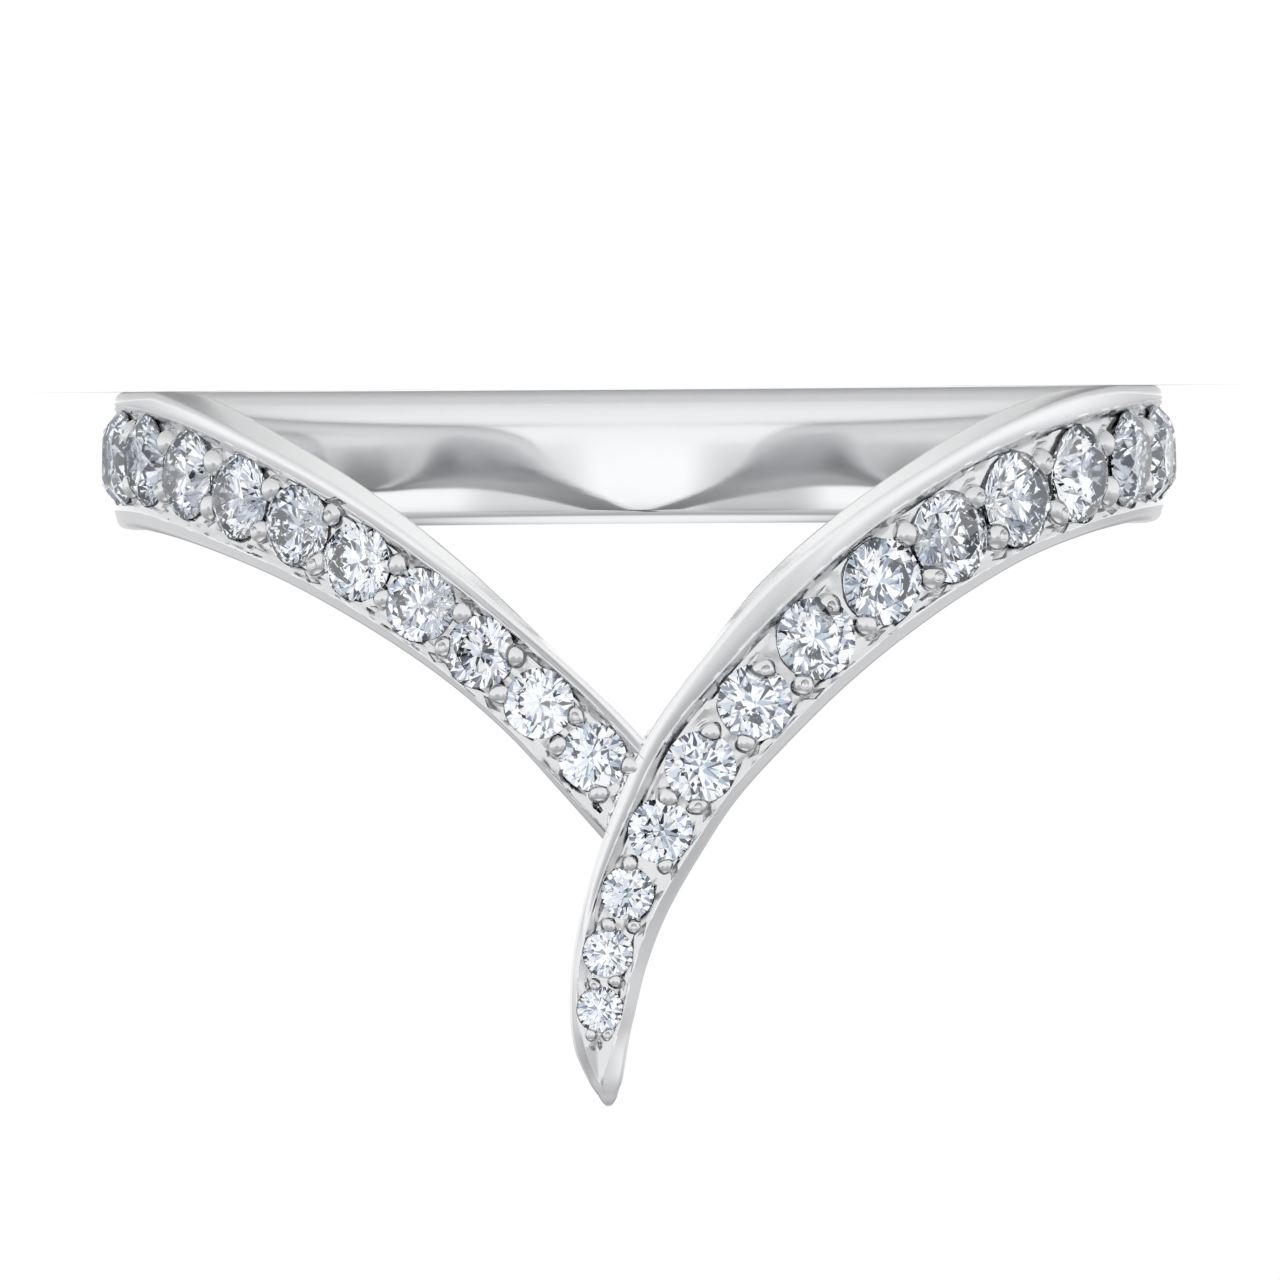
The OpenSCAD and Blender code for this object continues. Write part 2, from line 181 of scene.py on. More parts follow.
def across_at(arm, place):
    """Unit directions across an arm, from its rim side to its tip side."""
    place = np.atleast_1d(np.asarray(place, float))
    ahead = flat_points(row_at(arm.table, np.minimum(place + NEARBY, len(arm.table) - 1)))
    behind = flat_points(row_at(arm.table, np.maximum(place - NEARBY, 0)))
    along = unit(ahead - behind)
    return arm.side * np.stack([along[:, 1], -along[:, 0]], 1)


def rolled(flat, r):
    """Points in space from points on the unrolled cylinder and their radii."""
    a = flat[..., 0] / RAIL_R
    return np.stack([r * np.sin(a), -r * np.cos(a), flat[..., 1]], -1)


def spot(arm, place, sideways, r):
    """A point of an arm in space, with its directions along, across and outwards."""
    over = across_at(arm, place)[0]
    flat = flat_points(row_at(arm.table, place))[0] + sideways * over
    a = flat[0] / RAIL_R
    out = Vector((math.sin(a), -math.cos(a), 0))
    tangent = Vector((math.cos(a), math.sin(a), 0))
    over3 = tangent * over[0] + Vector((0, 0, 1)) * over[1]
    along3 = over3.cross(out)
    at = Vector((r * math.sin(a), -r * math.cos(a), flat[1]))
    return at, along3, over3, out


def ease(x):
    """Goes from 0 to 1 as x does, with a soft start and end."""
    x = np.clip(x, 0, 1)
    return x * x * (3 - 2 * x)


# The sections of the metal

STATION = 0.075         # distance between the sections along the arms
BACK_STATION = 0.28     # and along the plain back
ARM_FROM = 0.12         # place of an arm's table where its first section stands
DENSE = 1200            # samples of a line from which even places are worked out
TAIL_STRAIGHT = 14.6    # from this place of the long arm on, the sections keep their direction
JOIN_FROM, JOIN_TO = 80.0, 103.0        # angles between which an arm becomes the plain band
SOFTER_FROM, SOFTER_TO = 50.0, 88.0     # angles between which the outer corners grow rounder
BAND_IN = 0.95          # half width of the plain band up to the lines that go on as the rails' edges
BAND_ROW = np.array([0, BAND_H / 2, BAND_H / 2, BAND_IN, BAND_IN, BAND_H / 2, 0, 0])
OUTER_ROUND = 0.055     # radius of the arms' outer corners
BAND_ROUND = 0.2        # and of the plain band's
TAIL_FROM, TAIL_RUN = 9.2, 1.6          # height from which, and over which, the rim's rail leans over
GROOVE_FROM, GROOVE_RUN = 11.84, 0.30   # and the channel turns into a V groove


def even_places(table, start, stop, gap):
    """Places from start to stop, evenly spaced along the stone line."""
    dense = np.linspace(start, stop, DENSE)
    flat = flat_points(row_at(table, dense))
    run = np.concatenate([[0], np.cumsum(np.linalg.norm(np.diff(flat, axis=0), axis=1))])
    count = int(round(run[-1] / gap))
    return np.interp(np.linspace(0, run[-1], count + 1), run, dense)


def plain_share(angle):
    """How far the metal is the plain band at an angle."""
    return ease((np.abs(angle) - JOIN_FROM) / (JOIN_TO - JOIN_FROM))


def towards_band(rows):
    """Eases an arm's rows into the plain band behind the join."""
    share = plain_share(rows[:, ANGLE])[:, None]
    plain = np.repeat(BAND_ROW[None], len(rows), 0)
    plain[:, ANGLE] = rows[:, ANGLE]
    return rows * (1 - share) + plain * share


def ring_sections():
    """All sections in turn: from the point down the long arm, round the back and up the short arm."""
    long_places = even_places(LONG_ARM, len(LONG_ARM) - 1, ARM_FROM, STATION)
    short_places = even_places(SHORT_ARM, ARM_FROM, len(SHORT_ARM) - 1, STATION)
    long_rows = towards_band(row_at(LONG_ARM, long_places))
    short_rows = towards_band(row_at(SHORT_ARM, short_places))
    short_rows[:, ANGLE] -= 360
    back_from, back_to = long_rows[-1, ANGLE], short_rows[0, ANGLE]
    back_count = int(RAIL_R * math.radians(back_from - back_to) / BACK_STATION)
    back_rows = np.repeat(BAND_ROW[None], back_count - 1, 0)
    back_rows[:, ANGLE] = np.linspace(back_from, back_to, back_count + 1)[1:-1]

    rows = np.vstack([long_rows, back_rows, short_rows])
    number = np.arange(len(rows))
    on_long = number < len(long_rows)
    on_short = number >= len(long_rows) + len(back_rows)
    on_back = ~on_long & ~on_short
    facing = np.where(on_short, rows[:, ANGLE] + 360, -rows[:, ANGLE])
    plain = np.where(on_back, 1.0, plain_share(facing))

    upright = np.array([0.0, 1.0])
    over = np.tile(upright, (len(rows), 1))
    over[on_long] = across_at(LONG, np.minimum(long_places, TAIL_STRAIGHT))
    over[on_short] = across_at(SHORT, short_places)
    over = unit(over * (1 - plain[:, None]) + upright * plain[:, None])

    channel = np.where(on_back, 0.0, ease((CHANNEL_END - facing) / CHANNEL_RUN_OUT + 0.5))
    channel *= np.minimum(1, rows[:, RIM_IN] / SLOPE_W / 2)
    softer = ease((facing - SOFTER_FROM) / (SOFTER_TO - SOFTER_FROM))
    height = rows[:, HEIGHT]
    return SimpleNamespace(
        rows=rows,
        over=over,            # direction across, from the rim's side to the tip's side
        on_short=on_short,
        facing=facing,        # angle from the front
        plain=plain,          # how far a section is the plain band's
        channel=channel,      # how much of its depth the channel has
        # The outer corners' radius, how far the rim's rail leans outwards, and how far the channel
        # is the V groove
        corner=np.where(on_back, BAND_ROUND, OUTER_ROUND + (BAND_ROUND - OUTER_ROUND) * softer),
        tail=np.where(on_long, ease((height - TAIL_FROM) / TAIL_RUN), 0),
        groove=np.where(on_long, ease((height - GROOVE_FROM) / GROOVE_RUN), 0),
    )


# The points of a section, as shares of each stretch or as angles in degrees
FLOOR_SHARES = [0.0, 0.16, 0.32, 0.48, 0.64, 0.80, 0.91, 1.0]
SLOPE_SHARES = [0.25, 0.5, 0.75, 0.9]
RAIL_SHARES = [0.0, 0.12, 0.35, 0.6, 0.82, 1.0]
CORNER_ARC = [18.0, 36.0, 54.0, 72.0, 90.0]
WALL_SHARES = [0.12, 0.35, 0.6, 0.85]
INNER_ARC = [30.0, 36.0, 42.0, 48.0, 55.0]      # it meets the wall and the bore at an angle
BORE_SHARES = [0.08, 0.17, 0.27, 0.38, 0.5, 0.65, 0.82]
CHANNEL_KINDS = {"floor", "slope", "edge"}
INSIDE_KINDS = {"inner", "bore"}

INNER_ROUND = 0.65      # radius of the rounding between a side and the finger hole
INNER_ROUND_MOST = 1.3  # but at most this share of the half width
COMFORT = 0.0206        # the hole's wall falls away by this times the fourth power of the distance sideways
EDGE = 0.012            # half width of the crest between slope and rail
BURR = 0.005            # fine raised line that the graver leaves on the rim's rail
RIM_FALL_IN = 0.045     # how far the rim's rail falls towards the channel
RIM_FALL_OUT = 0.010    # and towards the ring's edge
TIP_FALL = 0.042        # how far the point's rail falls towards the ring's edge
TAIL_FALL = 0.035       # on the tail the rim's rail leans outwards instead
FALL_W, TAIL_FALL_W = 0.25, 0.2     # rails narrower than these fall less
GROOVE_OFF = 0.5        # the groove's bottom, as a share of the way from the middle to the rim's rail
GROOVE_DEEP = 0.17
GROOVE_SLOPE = 0.8      # depth for each mm of half width
GROOVE_ENDS = 0.03      # half width at which the groove has run out
LEAST_UPRIGHT = 0.05    # keeps the reach down to the flat rim finite


def off_rails(kind, sideways, height):
    """A point of a section, its height measured from the rails' cylinder."""
    return kind, sideways, height, 0, 0


def off_bore(kind, sideways, height):
    """A point of a section, its height measured from the finger hole's wall."""
    return kind, sideways, 0, height, 1


def half_profile(ring, out, inn, other_out, rim_side):
    """The points of one half of all sections, from the middle of the floor to the bore.

    Each is (kind, sideways, height off the rails' cylinder, height off the bore, way from the first
    of these to the second).
    """
    low = -ring.rows[:, LOWERED]
    slope = np.minimum(SLOPE_W, inn / 2)
    depth = CHANNEL_DEPTH * ring.channel
    points = [off_rails("floor", s * (inn - slope), -depth) for s in FLOOR_SHARES]
    points += [off_rails("slope", inn - slope * (1 - s), -depth * (1 - s)) for s in SLOPE_SHARES]

    # The crest beside the channel, whole from half the channel's depth on, and the rail, which leans
    lean = ring.channel * np.minimum(1, (out - inn) / FALL_W)
    crest = low + (BURR - RIM_FALL_IN * lean * (1 - ring.tail) if rim_side else -BURR)
    points.append(off_rails("edge", inn, crest * np.minimum(1, ring.channel * 2)))
    edge = np.minimum(EDGE, (out - inn) / 6)
    corner = np.minimum(np.minimum(ring.corner, out / 3), other_out / 3)
    fall_out = RIM_FALL_OUT + TAIL_FALL * ring.tail * np.minimum(1, (out - inn) / TAIL_FALL_W)
    for s in RAIL_SHARES:
        w = inn + edge + s * (out - corner - inn - edge)
        if rim_side:
            fall = RIM_FALL_IN * (1 - ring.tail) * (1 - s) ** 2 + fall_out * s
        else:
            fall = TIP_FALL * s
        points.append(off_rails("rail", w, low - fall * lean))
    corner_h = low - (fall_out if rim_side else TIP_FALL) * lean - corner
    for a in np.radians(CORNER_ARC):
        w = out - corner + corner * math.sin(a)
        points.append(off_rails("corner", w, corner_h + corner * math.cos(a)))

    # From the outer corner to the inner rounding, then over the rounding into the bore
    foot = out - np.minimum(SIDE_TAPER, out / 4) * (1 - ring.plain)
    deep = np.minimum(INNER_ROUND, foot * INNER_ROUND_MOST)
    start, crease = math.radians(INNER_ARC[0]), math.radians(INNER_ARC[-1])
    bore_w = foot - deep * (math.cos(start) - math.cos(crease))
    bore_h = COMFORT * bore_w ** 4
    wall_h = bore_h + deep * (math.sin(crease) - math.sin(start))
    points += [("wall", out + (foot - out) * s, corner_h, wall_h, s) for s in WALL_SHARES]
    for a in np.radians(INNER_ARC):
        w = foot - deep * (math.cos(start) - math.cos(a))
        points.append(off_bore("inner", w, bore_h + deep * (math.sin(crease) - math.sin(a))))
    for s in BORE_SHARES:
        w = bore_w * (1 - s)
        points.append(off_bore("bore", w, COMFORT * w ** 4))
    return points


def groove_points(rows, sideways, on_rim):
    """Where the channel's points are in the V groove past the last stone: sideways and height."""
    half_w = np.where(on_rim, rows[:, [RIM_IN]], rows[:, [TIP_IN]])
    share = np.abs(sideways) / half_w
    middle = -GROOVE_OFF * rows[:, [RIM_IN]]
    groove_w = middle + share * (np.where(on_rim, -half_w, half_w) - middle)
    deep = np.clip(GROOVE_SLOPE * (rows[:, [RIM_IN]] - GROOVE_ENDS), 0, GROOVE_DEEP)
    return groove_w, -deep * (1 - share) - rows[:, [LOWERED]]


def section_points(ring):
    """All sections' points: their kinds, places on the unrolled cylinder and radii."""
    rows = ring.rows
    # Where an arm would pass below the flat rim's plane, its rim side ends there
    reach = rows[:, HEIGHT] / np.maximum(ring.over[:, 1], LEAST_UPRIGHT)
    rim_out = np.minimum(rows[:, RIM_OUT], reach)
    rim_half = half_profile(ring, rim_out, rows[:, RIM_IN], rows[:, TIP_OUT], True)
    tip_half = half_profile(ring, rows[:, TIP_OUT], rows[:, TIP_IN], rows[:, RIM_OUT], False)
    # From the bore up the rim's side to the floor, down the tip's side, and the middle of the bore
    profile = [(kind, -w, *heights) for kind, w, *heights in reversed(rim_half)]
    profile += tip_half[1:] + [off_bore("bore", 0, 0)]
    kinds = [point[0] for point in profile]
    sideways, from_rails, from_bore, inside = (
        np.stack([np.broadcast_to(point[column], len(rows)) for point in profile], 1)
        for column in range(1, 5)
    )
    in_channel = np.array([kind in CHANNEL_KINDS for kind in kinds])
    on_rim = np.arange(len(kinds)) < len(rim_half) - 1
    groove = ring.groove[:, None]
    groove_w, groove_h = groove_points(rows, sideways, on_rim)
    sideways = np.where(in_channel, sideways + (groove_w - sideways) * groove, sideways)

    flat = flat_points(rows)[:, None, :] + sideways[..., None] * ring.over[:, None, :]
    flat[..., 1] = np.maximum(flat[..., 1], 0)
    flare = FLARE * np.clip((flat[..., 1] - BAND_H) / (POINT_H - BAND_H), 0, FLARE_MOST)
    bore = BORE_R + np.maximum(rows[:, [THINNED]], flare) + from_bore
    radius = (RAIL_R + from_rails) * (1 - inside) + bore * inside
    radius = np.where(in_channel, radius + (RAIL_R + groove_h - radius) * groove, radius)
    return kinds, flat, radius


# The metal's surface

MEET_FROM, MEET_TO = 6, 16      # places of the long arm between which the short arm may meet it
MEET_SAMPLES = 500
MEET_REACH = 4.5        # length of the short arm's end that may be inside the long arm
MEET_CLEAR = 0.06       # the end stops this far short of the long arm's channel
MEET_RUN, MEET_SUNK = 0.25, 0.03        # distance over which it sinks below the rail, and how far
MARK_EVERY = 3          # sections between two knots of the graver's cuts
SPARE_KNOTS = 3         # so that the knots reach past the last section
MARK_SIZES = {"edge": 0.004, "slope": 0.011, "floor": 0.013}     # how much the cuts' depths spread
CALM = 0.75             # the cuts are fainter by this share towards the sides
CALM_FROM, CALM_RUN = 45, 25            # degrees over which they grow fainter
BRIGHT_FROM = 0.02      # share of the channel's depth from which its faces count as cut
TIP_ROUND = 0.21        # height of the tail's rounded end
TIP_TOWARDS = np.array([-0.13, 0.16, 1.0])      # and its direction
CAP_ANGLES = [84, 75, 66, 58, 50, 42, 34, 26, 19, 12, 6]    # degrees of its steps, from its top down
CAP_LEAN = 0.42         # how much quicker than a circle the end draws in
CAP_THIN, CAP_THIN_INSIDE = 0.2, 0.85   # how much of its thickness the end loses in front and behind
POLISHED, CUT, BEADED, SATIN = range(4)         # the metal's material slots


def end_inside_long(flat, radius, on_short):
    """Ends the short arm inside the long arm, short of its channel, by moving both arrays' points."""
    places = np.linspace(MEET_FROM, MEET_TO, MEET_SAMPLES)
    long_rows = row_at(LONG_ARM, places)
    line, across = flat_points(long_rows), across_at(LONG, places)
    ends = np.where(on_short)[0][-int(MEET_REACH / STATION):]
    turn = np.array([2 * math.pi * RAIL_R, 0])
    points = flat[ends].reshape(-1, 2) + turn
    near = np.argmin(((points[:, None, :] - line[None]) ** 2).sum(-1), axis=1)
    aside = ((points - line[near]) * across[near]).sum(-1)
    limit = -(long_rows[near, RIM_IN] + MEET_CLEAR)
    points -= np.maximum(aside - limit, 0)[:, None] * across[near]
    flat[ends] = (points - turn).reshape(len(ends), -1, 2)
    inside = np.clip((aside + long_rows[near, RIM_OUT]) / MEET_RUN, 0, 1)
    radius[ends] -= MEET_SUNK * inside.reshape(len(ends), -1)


def graver_marks(ring, kinds):
    """How far out the graver's cuts move each point: short facets of slightly different depth."""
    count = len(ring.rows)
    marks = np.zeros((count, len(kinds)))
    for k, kind in enumerate(kinds):
        if kind in CHANNEL_KINDS:
            knots = rng.normal(0, 1, count // MARK_EVERY + SPARE_KNOTS)
            marks[:, k] = np.interp(np.arange(count), np.arange(len(knots)) * MARK_EVERY, knots)
    sizes = np.array([MARK_SIZES.get(kind, 0.0) for kind in kinds])
    calmer = 1 - CALM * ease((ring.facing - CALM_FROM) / CALM_RUN)[:, None]
    return marks * sizes * (1 - ring.groove[:, None]) * ring.channel[:, None] * calmer


def tail_cap(section):
    """Rounds the tail's end over: the end section, drawn in step by step, the outermost step first."""
    end = section.mean(0)
    out = np.array([end[0], end[1], 0]) / np.linalg.norm(end[:2])
    depth = ((section - end) @ out)[:, None] * out
    width = section - end - depth
    thin = np.where((section - end) @ out > 0, CAP_THIN, CAP_THIN_INSIDE)[:, None]
    return np.stack([
        end + width * math.cos(a) * (1 - CAP_LEAN * math.sin(a))
        + depth * (1 - thin * (1 - math.cos(a))) + TIP_TOWARDS * TIP_ROUND * math.sin(a)
        for a in np.radians(CAP_ANGLES)
    ])


def add_tube(solid, rings):
    """Adds a closed tube to (points, polygons): rings of points, joined in turn and capped."""
    points, polygons = solid
    sides, first = len(rings[0]), len(points)
    for ring in rings:
        points.extend(tuple(p) for p in ring)
    for j in range(len(rings) - 1):
        for k in range(sides):
            m = (k + 1) % sides
            a, b = first + j * sides, first + (j + 1) * sides
            polygons.append((a + k, a + m, b + m, b + k))
    polygons.append(tuple(first + k for k in range(sides - 1, -1, -1)))
    polygons.append(tuple(first + (len(rings) - 1) * sides + k for k in range(sides)))


def ring_shape():
    """The metal before its seats are cut, as (points, polygons), and the polygons' material slots."""
    ring = ring_sections()
    kinds, flat, radius = section_points(ring)
    end_inside_long(flat, radius, ring.on_short)
    surface = rolled(flat, radius)
    outward = surface * np.array([1, 1, 0]) / np.linalg.norm(surface[..., :2], axis=-1)[..., None]
    surface += outward * graver_marks(ring, kinds)[..., None]
    cap = tail_cap(surface[0])
    solid = ([], [])
    add_tube(solid, np.concatenate([cap, surface]))
    bright = [False] * len(cap) + list(ring.channel > BRIGHT_FROM)
    sides = [{kind, following} for kind, following in zip(kinds, kinds[1:] + kinds[:1])]
    # A face counts as cut or as inside where the points on both of its sides do. The caps come last
    slots = [
        CUT if is_bright and side <= CHANNEL_KINDS else POLISHED if side <= INSIDE_KINDS else SATIN
        for is_bright in bright[:-1] for side in sides
    ]
    return solid, slots + [SATIN, SATIN]


# Seats, ridge, hollows, gouges and beads

CUTTER_TIP = 0.02       # radius of a cutter's blunt point
SEAT_SIDES = 48
SEAT_CLEAR = 0.6        # the seat cutters reach this far above the girdle
RIDGE_FROM, RIDGE_TO = 10.0, 11.3   # places of the long arm where the short arm's channel meets it
RIDGE_COUNT = 40
RIDGE_SIDES = 10
RIDGE_R = 0.06
RIDGE_ROUGH = (0.7, 1.3)            # by how much its radius varies
RIDGE_OUT = (-0.01, 0.035)          # how far past the rim's edge the ridge's middle lies
RIDGE_SINK, RIDGE_WAVE = 0.09, 0.02     # depth of its middle below the rails, and how much it varies
RIDGE_TAPER = 0.4       # power of the sine by which its ends run out
HOLLOW_SIDES = 5
HOLLOW_DEEP = 0.18      # from its edge to its bottom
HOLLOW_TIP = 0.01       # radius at its bottom
HOLLOW_OPEN = 1.3       # a hollow's cutter widens by this above its edge
HOLLOW_LONG, HOLLOW_WIDE = 1.7, 0.8     # half length and half width, as shares of its radius
CUTTER_UP = 0.3         # height to which the hollows' and gouges' cutters go on
# The small hollows: arm, place, distance sideways, depth of its edge below the rails, radius
HOLLOWS = [(LONG, 14.90, 0, 0.03, 0.115), (SHORT, 11.5, 0.56, 0.11, 0.085)]
GOUGE_SIDES = 4
GOUGE_LONG, GOUGE_WIDE, GOUGE_DEEP = 0.95, 0.36, 0.2    # shares of the bead's radius
GOUGE_OUT = 1.05        # how far from the bead's middle, towards the rail, in the same measure
GOUGE_RIM, GOUGE_OPEN = 0.01, 1.5       # height of its full size above the floor, and how it widens on
GOUGE_SLANT = 0.35      # the most that it is turned, in radians
BEAD_SIDES = 24
BEAD_OFFSET = 0.53      # distance sideways, as a share of the two stones' mean radius
BEAD_SHARE, BEAD_MOST = 0.33, 0.285     # radius, as the same share and at most
BEAD_VARIES = (0.95, 1.08)              # by how much the radius varies
BEAD_STRETCH = (-0.04, 0.10)            # how much longer than round a bead is
BEAD_LOBES, BEAD_LOBE = 3, 0.03         # number of waves round it, and the most that each adds
BEAD_LEAN = 0.10        # the most that its top leans each way, as a share of its height
BEAD_SINK = 0.15        # depth of its middle below the rails
# Profile of a bead, from its foot to its top: radius share, height share
BEAD = [
    (1.34, -1.00), (1.26, -0.62), (1.13, -0.36), (1.03, -0.16), (1.00, 0.06), (0.95, 0.28),
    (0.86, 0.49), (0.73, 0.67), (0.56, 0.81), (0.37, 0.90), (0.18, 0.945), (0.05, 0.955),
]
# The top of a bead that still shows the dimple of the setter's tool
DIMPLED = [(0.44, 0.875), (0.38, 0.905), (0.33, 0.89), (0.27, 0.80), (0.16, 0.745), (0.05, 0.735)]
DIMPLED_FROM = 9        # it takes the place of the profile's rows from this one on
DIMPLED_SHARE = 0.45    # share of the beads that have it


def in_circle(r, h, a):
    return r * math.cos(a), r * math.sin(a)


def revolved(solid, place_frame, profile, sides, turned=in_circle):
    """Adds a closed solid round the direction outwards, from rows of (radius, height)."""
    at, along3, over3, out = place_frame
    rings = []
    for r, h in profile:
        spread = [turned(r, h, 2 * math.pi * k / sides) for k in range(sides)]
        rings.append([at + along3 * u + over3 * v + out * h for u, v in spread])
    add_tube(solid, rings)


def seats(first):
    """The cutters of every second stone's seat, so that no two of them touch."""
    solid = ([], [])
    for arm in (LONG, SHORT):
        for place, d in arm.stones[first::2]:
            big = d / 2 + SEAT_GAP
            low = -GIRDLE * d / 2 - SEAT_GAP
            profile = [(CUTTER_TIP, low - (big - CUTTER_TIP) * 2 * PAVILION), (big, low), (big, SEAT_CLEAR)]
            revolved(solid, spot(arm, place, 0, RAIL_R - GIRDLE_SINK), profile, SEAT_SIDES)
    return solid


def ridge():
    """The rough line that the graver leaves where the short arm's channel ends at the long arm."""
    rings = []
    for i, place in enumerate(np.linspace(RIDGE_FROM, RIDGE_TO, RIDGE_COUNT)):
        sideways = -(row_at(LONG_ARM, place)[0, RIM_OUT] + random.uniform(*RIDGE_OUT))
        middle_r = RAIL_R - RIDGE_SINK + random.uniform(-RIDGE_WAVE, RIDGE_WAVE)
        at, _, over3, out = spot(LONG, place, sideways, middle_r)
        thin = math.sin(math.pi * (i + 0.5) / RIDGE_COUNT) ** RIDGE_TAPER
        r = RIDGE_R * thin * random.uniform(*RIDGE_ROUGH)
        turns = [2 * math.pi * k / RIDGE_SIDES for k in range(RIDGE_SIDES)]
        rings.append([at + over3 * r * math.cos(a) + out * r * math.sin(a) for a in turns])
    solid = ([], [])
    add_tube(solid, rings)
    return solid


def add_hollow(solid, arm, place, sideways, sink, r):
    """A small long hollow that the graver left beside the beads."""
    def stretched(radius, height, a):
        return HOLLOW_LONG * radius * math.cos(a), HOLLOW_WIDE * radius * math.sin(a)

    profile = [(HOLLOW_TIP, -HOLLOW_DEEP), (r, 0.0), (r * HOLLOW_OPEN, CUTTER_UP)]
    revolved(solid, spot(arm, place, sideways, RAIL_R - sink), profile, HOLLOW_SIDES, stretched)


def add_bead(solid, arm, place, sideways, r):
    """A bead pushed up by the graver: a dome, a little out of round and leaning."""
    stretch = 1 + random.uniform(*BEAD_STRETCH)
    turn = random.uniform(0, math.pi)
    lobes = [(random.uniform(0, 2 * math.pi), random.uniform(0.0, BEAD_LOBE)) for _ in range(BEAD_LOBES)]
    lean = [random.uniform(-BEAD_LEAN, BEAD_LEAN) for _ in range(2)]

    def uneven(radius, height, a):
        wave = 1 + sum(size * math.cos((j + 2) * a + phase) for j, (phase, size) in enumerate(lobes))
        u, v = math.cos(a) * radius * wave * stretch, math.sin(a) * radius * wave / stretch
        return (
            u * math.cos(turn) - v * math.sin(turn) + lean[0] * max(height, 0),
            u * math.sin(turn) + v * math.cos(turn) + lean[1] * max(height, 0),
        )

    shape = BEAD[:DIMPLED_FROM] + DIMPLED if random.random() < DIMPLED_SHARE else BEAD
    profile = [(share * r, up * r) for share, up in shape]
    revolved(solid, spot(arm, place, sideways, RAIL_R - BEAD_SINK), profile, BEAD_SIDES, uneven)


def add_gouge(solid, arm, place, sideways, r):
    """The cut from which the graver pushed up a bead of radius r."""
    slant = random.uniform(-GOUGE_SLANT, GOUGE_SLANT)

    def slanted(radius, height, a):
        u, v = radius * GOUGE_LONG * math.cos(a), radius * GOUGE_WIDE * math.sin(a)
        return u * math.cos(slant) - v * math.sin(slant), u * math.sin(slant) + v * math.cos(slant)

    floor_h = BEAD_SINK - CHANNEL_DEPTH
    profile = [
        (CUTTER_TIP, floor_h - GOUGE_DEEP * r), (r, floor_h + GOUGE_RIM),
        (GOUGE_OPEN * r, floor_h + CUTTER_UP),
    ]
    revolved(solid, spot(arm, place, sideways, RAIL_R - BEAD_SINK), profile, GOUGE_SIDES, slanted)


def bead_row(way):
    """The beads of the rim's side, way -1, or of the point's side, way 1, and what is cut beside them."""
    beads, gouges = ([], []), ([], [])
    along, across = (RIM_ALONG, RIM_ACROSS) if way < 0 else (POINT_ALONG, POINT_ACROSS)
    if way < 0:
        for hollow in HOLLOWS:
            add_hollow(gouges, *hollow)
    for arm in (LONG, SHORT):
        for (place_a, d_a), (place_b, d_b), shift in zip(arm.stones, arm.stones[1:], arm.shifts):
            beside = (d_a + d_b) / 4
            place = (place_a + place_b) / 2 + shift[along]
            sideways = way * BEAD_OFFSET * beside + shift[across]
            r = min(BEAD_SHARE * beside, BEAD_MOST) * random.uniform(*BEAD_VARIES)
            add_bead(beads, arm, place, sideways, r)
            add_gouge(gouges, arm, place, sideways + way * GOUGE_OUT * r, r)
        place, d = arm.stones[0]
        add_bead(beads, arm, place + arm.end_past, way * arm.end_aside * d / 2, BEAD_SHARE * d / 2)
    return beads, gouges


# Meshes

SHARP = math.radians(33)        # faces that meet at more than this have a sharp edge between them


def made_mesh(name, solid):
    """A smooth object from (points, polygons) in millimetres."""
    points, polygons = solid
    mesh = bpy.data.meshes.new(name)
    mesh.from_pydata([tuple(c * MM for c in p) for p in points], [], polygons)
    mesh.update()
    mesh.polygons.foreach_set("use_smooth", [True] * len(mesh.polygons))
    piece = bpy.data.objects.new(name, mesh)
    bpy.context.scene.collection.objects.link(piece)
    return piece


def outwards(mesh):
    """Turns all faces outwards and marks the edges that are sharp."""
    bm = bmesh.new()
    bm.from_mesh(mesh)
    bmesh.ops.recalc_face_normals(bm, faces=bm.faces)
    for edge in bm.edges:
        edge.smooth = len(edge.link_faces) == 2 and edge.calc_face_angle() < SHARP
    bm.to_mesh(mesh)
    bm.free()


def combine(body, name, solid, operation, slot):
    """Cuts the solid out of the body or joins it on. Its faces take the given material slot."""
    tool = made_mesh(name, solid)
    tool.data.polygons.foreach_set("material_index", [slot] * len(tool.data.polygons))
    outwards(tool.data)
    for material in body.data.materials:
        tool.data.materials.append(material)
    change = body.modifiers.new(name, "BOOLEAN")
    change.operation = operation
    change.solver = "MANIFOLD"
    change.object = tool
    bpy.context.view_layer.update()
    shape = bpy.data.meshes.new_from_object(body.evaluated_get(bpy.context.evaluated_depsgraph_get()))
    body.modifiers.clear()
    body.data = shape
    bpy.data.objects.remove(tool)


# The stones

EIGHTH, HALF_EIGHTH = 45, 22.5      # degrees of a brilliant's facets
BLANK_SIDES, BLANK_DEEP = 64, 2.4   # of the blank of radius 1
CUT_NEAR, WELD_NEAR = 1e-6, 1e-5    # distances within which points are taken as on a plane or as one
STONE_TILT = 0.035      # the most that a stone leans each way, in radians


